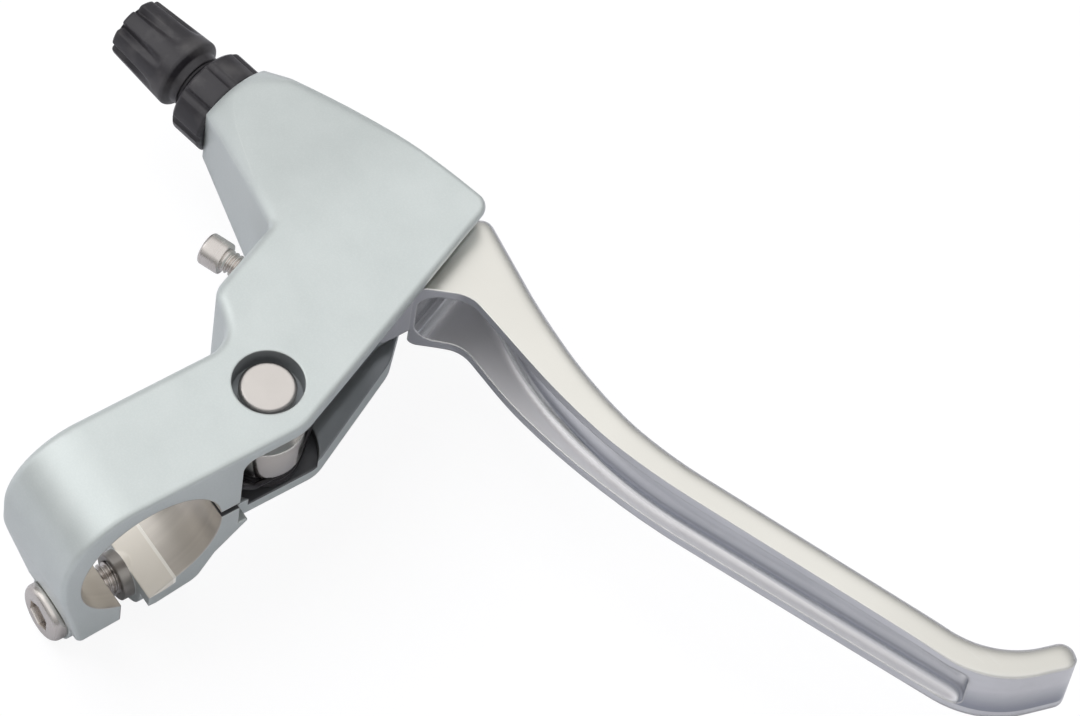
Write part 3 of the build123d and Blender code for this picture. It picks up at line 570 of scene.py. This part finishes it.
def noise(tree, **settings):
    """Value of a noise texture; one that is given a plain number W is one-dimensional."""
    dimensions = "1D" if "W" in settings else "3D"
    return add_node(tree, "ShaderNodeTexNoise", settings, noise_dimensions=dimensions).outputs[0]


# %% Grain, rings and scratches


def sprayed_grain():
    """Grain: a fine noise for the height and a broad soft one for the tone."""
    group, given = new_group("sprayed_grain", {"Place": None, "Fineness": 2500.0}, ["Height", "Tone"])
    fine = noise(group, Vector=given["Place"], Scale=given["Fineness"], Detail=2.0, Roughness=0.6)
    broad_scale = math_node(group, "MULTIPLY", given["Fineness"], 0.035)
    broad = noise(group, Vector=given["Place"], Scale=broad_scale, Detail=3.0)
    add_node(group, "NodeGroupOutput", {"Height": fine, "Tone": broad})
    return group


def lathe_rings():
    """Rings: a one-dimensional noise of the distance along the axis, so the lines run round it."""
    group, given = new_group("lathe_rings", {"Along": 0.0, "Fineness": 6000.0}, ["Height", "Tone"])
    scaled = math_node(group, "MULTIPLY", given["Along"], given["Fineness"])
    lines = noise(group, W=scaled, Scale=1.0, Detail=4.0, Roughness=0.7)
    bands = noise(group, W=math_node(group, "MULTIPLY", scaled, 0.12), Scale=1.0, Detail=2.0)
    add_node(group, "NodeGroupOutput", {"Height": lines, "Tone": bands})
    return group


def hair_scratches():
    """Scratches: a noise drawn out some thirty to one, of which only the narrow crests are kept."""
    group, given = new_group("hair_scratches", {"Place": None, "Fineness": 900.0}, ["Mask"])
    drawn = add_node(group, "ShaderNodeMapping", {"Vector": given["Place"], "Rotation": (0.2, 0.1, 0.5),
                                                  "Scale": (0.03, 1.0, 1.0)}).outputs[0]
    crest = ramp(group, noise(group, Vector=drawn, Scale=given["Fineness"], Detail=1.0), 0.66, 0.74)
    add_node(group, "NodeGroupOutput", {"Mask": crest})
    return group


grain_group, rings_group, scratch_group = sprayed_grain(), lathe_rings(), hair_scratches()
print("groups:", [group.name for group in (grain_group, rings_group, scratch_group)])

# %% [markdown]
# ## A finish in few words
# Each finish starts from Blender's main shader and changes its colour, roughness and height from
# place to place. Colours are written as they show on a screen. Real corners are never knife-sharp,
# and rounding each one in the mesh would cost many faces, so the Bevel node turns the surface's
# direction gradually near an edge instead, and the same turn tells where an edge gets a painted highlight.

# %% Colours


def screen(red, green, blue):
    """A colour as it shows on a screen, 0 to 255, turned into the linear colour a shader takes."""
    share = np.array([red, green, blue]) / 255
    linear = np.where(share <= 0.04045, share / 12.92, ((share + 0.055) / 1.055) ** 2.4)
    return tuple(float(value) for value in linear) + (1.0,)


print("half grey on a screen is", round(screen(128, 128, 128)[0], 3), "in linear light")

# %% Mixing colours, values and masks


def mixed(tree, share, first, second):
    """A colour that runs from the first to the second as the share runs from 0 to 1."""
    inputs = {0: share, 6: first, 7: second}
    return add_node(tree, "ShaderNodeMix", inputs, data_type="RGBA").outputs[2]


def chosen(tree, share, first, second):
    """A value that runs from the first to the second as the share runs from 0 to 1."""
    return add_node(tree, "ShaderNodeMix", {0: share, 2: first, 3: second}).outputs[0]


def both(tree, *masks):
    """Where all masks overlap: their product."""
    mask = masks[0]
    for other in masks[1:]:
        mask = math_node(tree, "MULTIPLY", mask, other)
    return mask


def either(tree, *masks):
    """Where any of the masks is set: the largest of them."""
    mask = masks[0]
    for other in masks[1:]:
        mask = math_node(tree, "MAXIMUM", mask, other)
    return mask


def dot(tree, vector, way):
    """How far a place or a direction reaches along a way."""
    return add_node(tree, "ShaderNodeVectorMath", {0: vector, 1: way}, operation="DOT_PRODUCT").outputs["Value"]


# %% Edges


def true_way(tree):
    """The direction that the surface faces."""
    return add_node(tree, "ShaderNodeNewGeometry").outputs["Normal"]


def soft_edge(tree, radius):
    """The surface's direction, turned gradually within the radius of an edge, as on a worn or cast corner."""
    return add_node(tree, "ShaderNodeBevel", {"Radius": radius}, samples=6).outputs[0]


def edge_highlight_mask(tree, radius):
    """0 on even ground and 1 on an edge: how far the softened direction turns away from the true one."""
    return ramp(tree, dot(tree, true_way(tree), soft_edge(tree, radius)), 0.99, 0.90)


# %% Starting and ending a finish


def new_finish(name):
    """A material with its tree, its main shader and the object's own coordinates."""
    material = bpy.data.materials.new(name)
    material.use_nodes = True
    tree = material.node_tree
    place = add_node(tree, "ShaderNodeTexCoord").outputs["Object"]
    return material, tree, tree.nodes["Principled BSDF"], place


def grouped(tree, group, **inputs):
    """One use of a shared group, with its own values."""
    return add_node(tree, "ShaderNodeGroup", inputs, node_tree=group).outputs


def feed(tree, shader, colour, roughness, metallic, height, depth, strength, soft=None):
    """Plugs the finished colour, roughness, metallic share and height into the main shader; the height
    bends the softened direction where one is given."""
    for key, value in (("Base Color", colour), ("Roughness", roughness), ("Metallic", metallic)):
        plug(tree, shader.inputs[key], value)
    bump = add_node(tree, "ShaderNodeBump", {"Height": height, "Strength": strength, "Distance": depth})
    if soft is not None:
        tree.links.new(soft, bump.inputs["Normal"])
    tree.links.new(bump.outputs[0], shader.inputs["Normal"])


# %% [markdown]
# ## The bracket's paint and its bare bore
# The bracket is a casting sprayed with satin silver paint. After painting, the bore for the bar and
# the faces of the clamp's gap are machined, so bare warm-grey metal shows there. Two materials on two
# sets of faces would need the mesh to be cut; masks by place on the object leave it whole, and the
# bore's mask is simply the distance from the bar's axis.

# %% Masks by place


def inside(tree, value, low, high):
    """1 where a value lies between two limits, 0 elsewhere."""
    return math_node(tree, "COMPARE", value, (low + high) / 2, (high - low) / 2)


def boxed(tree, axes, **limits):
    """1 inside the given limits along the named axes, in mm."""
    return both(tree, *[inside(tree, axes[axis], low * mm, high * mm) for axis, (low, high) in limits.items()])


def about_pivot(tree, axes, radius):
    """1 within a radius of the pivot's axis: the squares of both distances from it, added and compared."""
    ahead = math_node(tree, "POWER", math_node(tree, "SUBTRACT", axes["Y"], pivot[1] * mm), 2.0)
    apart = math_node(tree, "ADD", math_node(tree, "POWER", axes["X"], 2.0), ahead)
    return math_node(tree, "LESS_THAN", apart, radius**2)


def bracket_axes(tree, place):
    """Coordinates on the bracket, with the distance from the bar's axis and the depth behind the mouth."""
    axes = split_axes(tree, place)
    upright = add_node(tree, "ShaderNodeCombineXYZ", {"Y": axes["Y"], "Z": axes["Z"]}).outputs[0]
    axes["radius"] = add_node(tree, "ShaderNodeVectorMath", {0: upright}, operation="LENGTH").outputs["Value"]
    axes["depth"] = math_node(tree, "SUBTRACT", 16.615 * mm, dot(tree, place, mouth_way))
    return axes


# %% Where shade is painted into the bracket


def painted_shade_masks(tree, axes):
    """Masks of painted shade: the pocket and recess, and the darker seat and slit, where shade falls."""
    in_mouth = {"X": (-60.0, 8.2), "depth": (0.4, 13.0)}
    sides = boxed(tree, axes, Z=(-3.95, 11.9), Y=(14.05, 60.0), **in_mouth)
    ground = boxed(tree, axes, Z=(-4.05, -3.95), Y=(15.65, 60.0), **in_mouth)
    recess = both(tree, boxed(tree, axes, Z=(5.0, 13.9)), about_pivot(tree, axes, 5.12 * mm))
    seat = both(tree, boxed(tree, axes, Z=(-5.6, -4.0)), about_pivot(tree, axes, 8.05 * mm))
    slit = boxed(tree, axes, X=(3.2, 8.2), Y=(10.9, 14.05), Z=(0.1, 1.7))
    return either(tree, sides, ground, recess), either(tree, seat, slit)


def paint_tone(tree, axes, grain):
    """Silver with pale flakes and a painted highlight on the edges, with painted shade greyer in the pocket and
    recess and darkest in seat and slit.
    """
    full = mixed(tree, grain["Tone"], screen(194, 201, 200), screen(208, 214, 213))
    flake = ramp(tree, grain["Height"], 0.42, 0.70, 0.0, 0.09)
    full = mixed(tree, flake, full, screen(238, 242, 240))
    # Painted highlight: the edges are mixed towards a paler silver.
    rubbed = math_node(tree, "MULTIPLY", edge_highlight_mask(tree, 0.5 * mm), 0.5)
    full = mixed(tree, rubbed, full, screen(228, 232, 230))
    # Painted shade: greyer paint in the pocket and recess, darkest in the seat and slit.
    thin = mixed(tree, grain["Tone"], screen(140, 144, 147), screen(162, 166, 169))
    shaded, dark = painted_shade_masks(tree, axes)
    return mixed(tree, dark, mixed(tree, shaded, full, thin), screen(104, 105, 108))


# %% Where the cutter has been


def bare_places(tree, axes):
    """Masks of the machined bore, the jaw's relief, a painted highlight along its crease and the gap between the
    jaws.
    """
    under_bar = {"radius": (9.5, 12.5), "Z": (-14.0, -9.5)}
    bore = boxed(tree, axes, radius=(0.0, 11.2))
    relief = boxed(tree, axes, Y=(0.18, 4.42), **under_bar)
    # Painted highlight: a thin band along the relief's crease.
    painted_crease_highlight = boxed(tree, axes, Y=(4.0, 4.5), **under_bar)
    gap = boxed(tree, axes, Y=(-4.45, 0.15), Z=(-30.0, -9.5))
    return bore, relief, painted_crease_highlight, gap


def metal_tone(tree, relief, painted_crease_highlight, gap, grain, rings):
    """Warm grey with the cutter's rings, cream on the dull relief, a pale painted highlight on its crease, dark in
    the gap.
    """
    metal = mixed(tree, rings["Tone"], screen(196, 191, 184), screen(222, 217, 209))
    cream = mixed(tree, grain["Tone"], screen(232, 226, 215), screen(246, 241, 231))
    # Painted highlight on the crease: near white.
    cream = mixed(tree, painted_crease_highlight, cream, screen(255, 252, 244))
    return mixed(tree, gap, mixed(tree, relief, metal, cream), screen(150, 146, 142))


# %% Silver paint with a bare bore


def silver_paint():
    """Paint everywhere, with painted shade in the pocket; bare metal in the bore, on the jaw's relief and
    between the jaws. Edges are softened a little, and far more on the crown of the adjuster's boss."""
    material, tree, shader, place = new_finish("silver_paint")
    axes = bracket_axes(tree, place)
    grain = grouped(tree, grain_group, Place=place, Fineness=3800.0)
    rings = grouped(tree, rings_group, Along=axes["X"], Fineness=5200.0)
    bore, relief, painted_crease_highlight, gap = bare_places(tree, axes)
    bare = either(tree, bore, relief, gap)
    metal = metal_tone(tree, relief, painted_crease_highlight, gap, grain, rings)
    colour = mixed(tree, bare, paint_tone(tree, axes, grain), metal)
    paint_rough = ramp(tree, grain["Tone"], 0, 1, 0.30, 0.42)
    metal_rough = ramp(tree, rings["Tone"], 0, 1, 0.24, 0.36)
    rough = chosen(tree, bare, paint_rough, metal_rough)
    metallic = chosen(tree, bare, 0.52, ramp(tree, relief, 0, 1, 0.70, 0.0))
    height = chosen(tree, bare, grain["Height"], rings["Height"])
    crown = ramp(tree, axes["X"], -20 * mm, -30 * mm, 0.45 * mm, 2.6 * mm)
    feed(tree, shader, colour, rough, metallic, height, depth=0.01 * mm, strength=0.4, soft=soft_edge(tree, crown))
    return material


paint = silver_paint()
print("paint nodes:", len(paint.node_tree.nodes))

# %% [markdown]
# ## The lever's polished aluminium
# The lever is forged aluminium, tumbled until its edges are soft. The broad flange on top is satin
# from the polishing wheel and a little warm, while the channel stays neutral and shinier, with
# streaks along the blade. Painting vertex by vertex would tie the look to one mesh; the surface's
# own upward tilt and its height tell the two apart, so no faces have to be picked by hand.

# %% Rounding that falls away
far_way = (-0.28, 0.96, 0.0)


def rounded_away(tree, near_radius, far_radius):
    """The direction with edges softened a little, and far more on upper faces that fall away from the rider."""
    near, far, true = soft_edge(tree, near_radius), soft_edge(tree, far_radius), true_way(tree)
    turn = add_node(tree, "ShaderNodeVectorMath", {0: far, 1: true}, operation="SUBTRACT").outputs[0]
    falls = math_node(tree, "GREATER_THAN", dot(tree, turn, far_way), 0.002)
    upper = math_node(tree, "GREATER_THAN", split_axes(tree, true)["Z"], 0.3)
    inputs = {0: both(tree, falls, upper), 4: near, 5: far}
    return add_node(tree, "ShaderNodeMix", inputs, data_type="VECTOR").outputs[1]


# %% Flange, shelf and web


def lever_places(tree, axes, soft):
    """Masks of the top flange and of the lower flange's inner shelf (painted light), from the upward tilt
    and the height; ramps along the blade past the eye and towards the tip (painted shading); and the web at the
    back of the channel (painted shade)."""
    upward = ramp(tree, split_axes(tree, soft)["Z"], 0.60, 0.98)
    on_top = both(tree, upward, math_node(tree, "GREATER_THAN", axes["Z"], 4.0 * mm))
    painted_light_shelf = both(tree, upward, math_node(tree, "LESS_THAN", axes["Z"], 3.0 * mm))
    on_blade = ramp(tree, axes["X"], 0.0, 12 * mm)
    tip_painted_shading = ramp(tree, axes["X"], 62 * mm, 104 * mm)
    towards_foot = ramp(tree, axes["Z"], 2.2 * mm, -2.6 * mm)
    above_shelf = math_node(tree, "GREATER_THAN", axes["Z"], -3.4 * mm)
    facing_rider = math_node(tree, "LESS_THAN", dot(tree, soft, far_way), 0.0)
    web = both(tree, towards_foot, above_shelf, facing_rider, math_node(tree, "MULTIPLY", on_blade, 0.8))
    return {"on_top": on_top, "painted_light_shelf": painted_light_shelf, "on_blade": on_blade, "tip_painted_shading": tip_painted_shading, "web": web}


def lever_tone(tree, axes, where, streak, grain):
    """Warm on top, streaked neutral grey in the channel, warmer on the hub, painted shade on the web, and a dull
    white painted light band on the shelf; towards the tip the top is painted darker and the other faces lighter."""
    bright = mixed(tree, grain["Tone"], screen(232, 230, 223), screen(246, 244, 237))
    # Painted shade: towards the tip the top flange is mixed darker.
    bright = mixed(tree, where["tip_painted_shading"], bright, screen(216, 214, 207))
    grey = mixed(tree, streak, screen(204, 206, 210), screen(240, 241, 244))
    grey = mixed(tree, where["on_blade"], screen(216, 217, 220), grey)
    grey = mixed(tree, about_pivot(tree, axes, 7.0 * mm), grey, screen(238, 232, 224))
    # Painted light: towards the tip the other faces are mixed lighter.
    grey = mixed(tree, where["tip_painted_shading"], grey, screen(246, 246, 248))
    # Painted shade: the web at the foot of the channel is mixed towards a darker blue grey.
    grey = mixed(tree, where["web"], grey, screen(150, 155, 168))
    # Painted light: the shelf is a dull near-white, a painted light band.
    dull = mixed(tree, where["on_blade"], screen(214, 213, 215), screen(244, 242, 243))
    return mixed(tree, where["painted_light_shelf"], mixed(tree, where["on_top"], grey, bright), dull)


# %% Lever aluminium


def lever_aluminium():
    """Satin on top and on the shelf, shinier elsewhere, with a painted highlight on the edges, hair scratches
    and streaks along the blade: a noise turned to the blade's way and drawn out along it."""
    material, tree, shader, place = new_finish("lever_aluminium")
    axes = split_axes(tree, place)
    blade = add_node(tree, "ShaderNodeMapping", {"Vector": place, "Rotation": (0, 0, -0.284)}).outputs[0]
    drawn = add_node(tree, "ShaderNodeMapping", {"Vector": blade, "Scale": (0.03, 1, 1)}).outputs[0]
    streak = noise(tree, Vector=drawn, Scale=900.0, Detail=2.0)
    grain = grouped(tree, grain_group, Place=place, Fineness=1800.0)
    scratch = grouped(tree, scratch_group, Place=blade, Fineness=1400.0)["Mask"]
    near_radius = ramp(tree, axes["X"], 74 * mm, 86 * mm, 0.35 * mm, 1.5 * mm)
    soft = rounded_away(tree, near_radius, 2.4 * mm)
    where = lever_places(tree, axes, soft)
    # Painted highlight on the edges, with hair scratches: both are mixed towards near white.
    scratches_and_edge_highlight = either(tree, math_node(tree, "MULTIPLY", scratch, 0.1), edge_highlight_mask(tree, 0.3 * mm))
    colour = mixed(tree, scratches_and_edge_highlight, lever_tone(tree, axes, where, streak, grain), screen(248, 247, 244))
    satin = ramp(tree, grain["Tone"], 0, 1, 0.30, 0.40)
    shiny = ramp(tree, both(tree, streak, where["on_blade"]), 0, 1, 0.14, 0.26)
    rough = chosen(tree, either(tree, where["on_top"], where["painted_light_shelf"]), shiny, satin)
    # The shelf's low metallic share lets it catch lamp light for its painted light band.
    metallic = ramp(tree, where["painted_light_shelf"], 0, 1, 1.0, 0.35)
    height = math_node(tree, "SUBTRACT", grain["Height"], math_node(tree, "MULTIPLY", scratch, 0.5))
    feed(tree, shader, colour, rough, metallic, height, depth=0.004 * mm, strength=0.12, soft=soft)
    return material


alloy = lever_aluminium()
print("lever nodes:", len(alloy.node_tree.nodes))

# %% [markdown]
# ## Turned steel
# The pin and the screws are bright steel from the lathe, and show faint rings about their axis. An
# anisotropic shader would stretch the highlight in the same way, but it needs a tangent on each
# mesh; a noise of the distance along the axis needs only that axis, so each piece gets its own.

# %% Turned steel


def turned_steel(name, pointing, rim):
    """Bright steel with a rounded rim; the rings follow the distance along the given axis."""
    material, tree, shader, place = new_finish(name)
    rings = grouped(tree, rings_group, Along=dot(tree, place, pointing), Fineness=7000.0)
    grain = grouped(tree, grain_group, Place=place, Fineness=3000.0)
    colour = mixed(tree, grain["Tone"], screen(204, 198, 194), screen(228, 223, 218))
    rough = ramp(tree, rings["Tone"], 0, 1, 0.18, 0.34)
    height = math_node(tree, "ADD", rings["Height"], math_node(tree, "MULTIPLY", grain["Height"], 0.4))
    feed(tree, shader, colour, rough, 1.0, height, depth=0.004 * mm, strength=0.25, soft=soft_edge(tree, rim))
    return material


upright_steel = turned_steel("turned_steel_upright", (0, 0, 1), 0.5 * mm)
bolt_steel = turned_steel("turned_steel_bolt", (0, 1, 0), 0.1 * mm)
screw_steel = turned_steel("turned_steel_screw", mouth_way, 0.1 * mm)
print("steels:", [steel.name for steel in (upright_steel, bolt_steel, screw_steel)])

# %% [markdown]
# ## Oiled black spring steel
# The spring and the pin's clip are drawn or stamped from spring steel and blackened in hot oil. A
# plain dark colour would look like plastic, so the finish is partly metallic, and paler hair
# scratches show where the black is rubbed.

# %% Black wire


def black_wire():
    """Oiled black wire: dark grey with rubbed paler scratches."""
    material, tree, shader, place = new_finish("black_wire")
    grain = grouped(tree, grain_group, Place=place, Fineness=3500.0)
    scratch = grouped(tree, scratch_group, Place=place, Fineness=2500.0)["Mask"]
    colour = mixed(tree, scratch, screen(40, 38, 40), screen(84, 82, 84))
    rough = ramp(tree, grain["Tone"], 0, 1, 0.28, 0.42)
    feed(tree, shader, colour, rough, 0.6, grain["Height"], depth=0.006 * mm, strength=0.3)
    return material


wire = black_wire()
print("wire nodes:", len(wire.node_tree.nodes))

# %% [markdown]
# ## Sintered bronze
# The bush in the lever's hub is pressed from bronze powder and baked, which leaves it full of tiny
# pores that hold oil. Pits could be modelled, but they are far too small to see as shapes, so one
# fine noise both darkens and lowers them.

# %% Sintered bronze


def sintered_bronze():
    """Bronze with pores: the fine noise darkens the pits and lowers them."""
    material, tree, shader, place = new_finish("sintered_bronze")
    grain = grouped(tree, grain_group, Place=place, Fineness=5000.0)
    colour = mixed(tree, grain["Height"], screen(120, 84, 48), screen(196, 150, 96))
    rough = ramp(tree, grain["Height"], 0, 1, 0.5, 0.3)
    feed(tree, shader, colour, rough, 0.9, grain["Height"], depth=0.01 * mm, strength=0.4)
    return material


bronze = sintered_bronze()
print("bronze nodes:", len(bronze.node_tree.nodes))

# %% [markdown]
# ## Moulded black plastic
# The adjuster, its ring and the two washers are moulded in a steel tool whose surface was etched by
# sparks, so they have a fine grain, and fingers rub it paler in patches. A single black would hide
# the grip's flutes; the grain and the patches keep a little light on them.

# %% Black plastic


def black_plastic():
    """Moulded plastic: near-black, fine grain, and rubbed patches that are a shade paler and duller."""
    material, tree, shader, place = new_finish("black_plastic")
    grain = grouped(tree, grain_group, Place=place, Fineness=4200.0)
    rubbed = ramp(tree, noise(tree, Vector=place, Scale=260.0, Detail=4.0), 0.48, 0.72)
    toned = mixed(tree, grain["Tone"], screen(34, 32, 36), screen(50, 48, 52))
    colour = mixed(tree, math_node(tree, "MULTIPLY", rubbed, 0.45), toned, screen(92, 90, 90))
    rough = ramp(tree, rubbed, 0, 1, 0.30, 0.48)
    feed(tree, shader, colour, rough, 0.0, grain["Height"], depth=0.01 * mm, strength=0.35,
         soft=soft_edge(tree, 0.4 * mm))
    return material


plastic = black_plastic()
print("plastic nodes:", len(plastic.node_tree.nodes))

# %% [markdown]
# ## Dressing the pieces
# Each piece has one finish, as it has one material on the bench. Slots could be filled by hand in
# the material tab; a table keeps the choice in one place, and the plain solids that finer pieces
# stand in for get the same finish, so nothing is left bare.

# %% Finishes on their pieces


def dress(piece, material):
    """Puts one finish in every material slot of a piece, or in a first slot where it has none."""
    if not piece.material_slots:
        piece.data.materials.append(material)
    for slot in piece.material_slots:
        slot.material = material


finishes = {
    "bracket_body": paint, "lever_blade": alloy, "pivot_pin": upright_steel, "pivot_clip": wire,
    "thrust_washer_upper": plastic, "thrust_washer_lower": plastic, "pivot_bush": bronze,
    "return_spring": wire, "clamp_bolt": bolt_steel, "reach_screw": screw_steel,
    "adjuster_barrel": plastic, "adjuster_lock_nut": plastic,
}
for name, material in finishes.items():
    dress(nodes[name], material)
new_pieces = ((clamp_bolt, bolt_steel), (reach_screw, screw_steel), (spring, wire), (grip, plastic))
for piece, material in new_pieces:
    dress(piece, material)
print("finishes on", len(finishes), "solids and", len(new_pieces), "pieces")
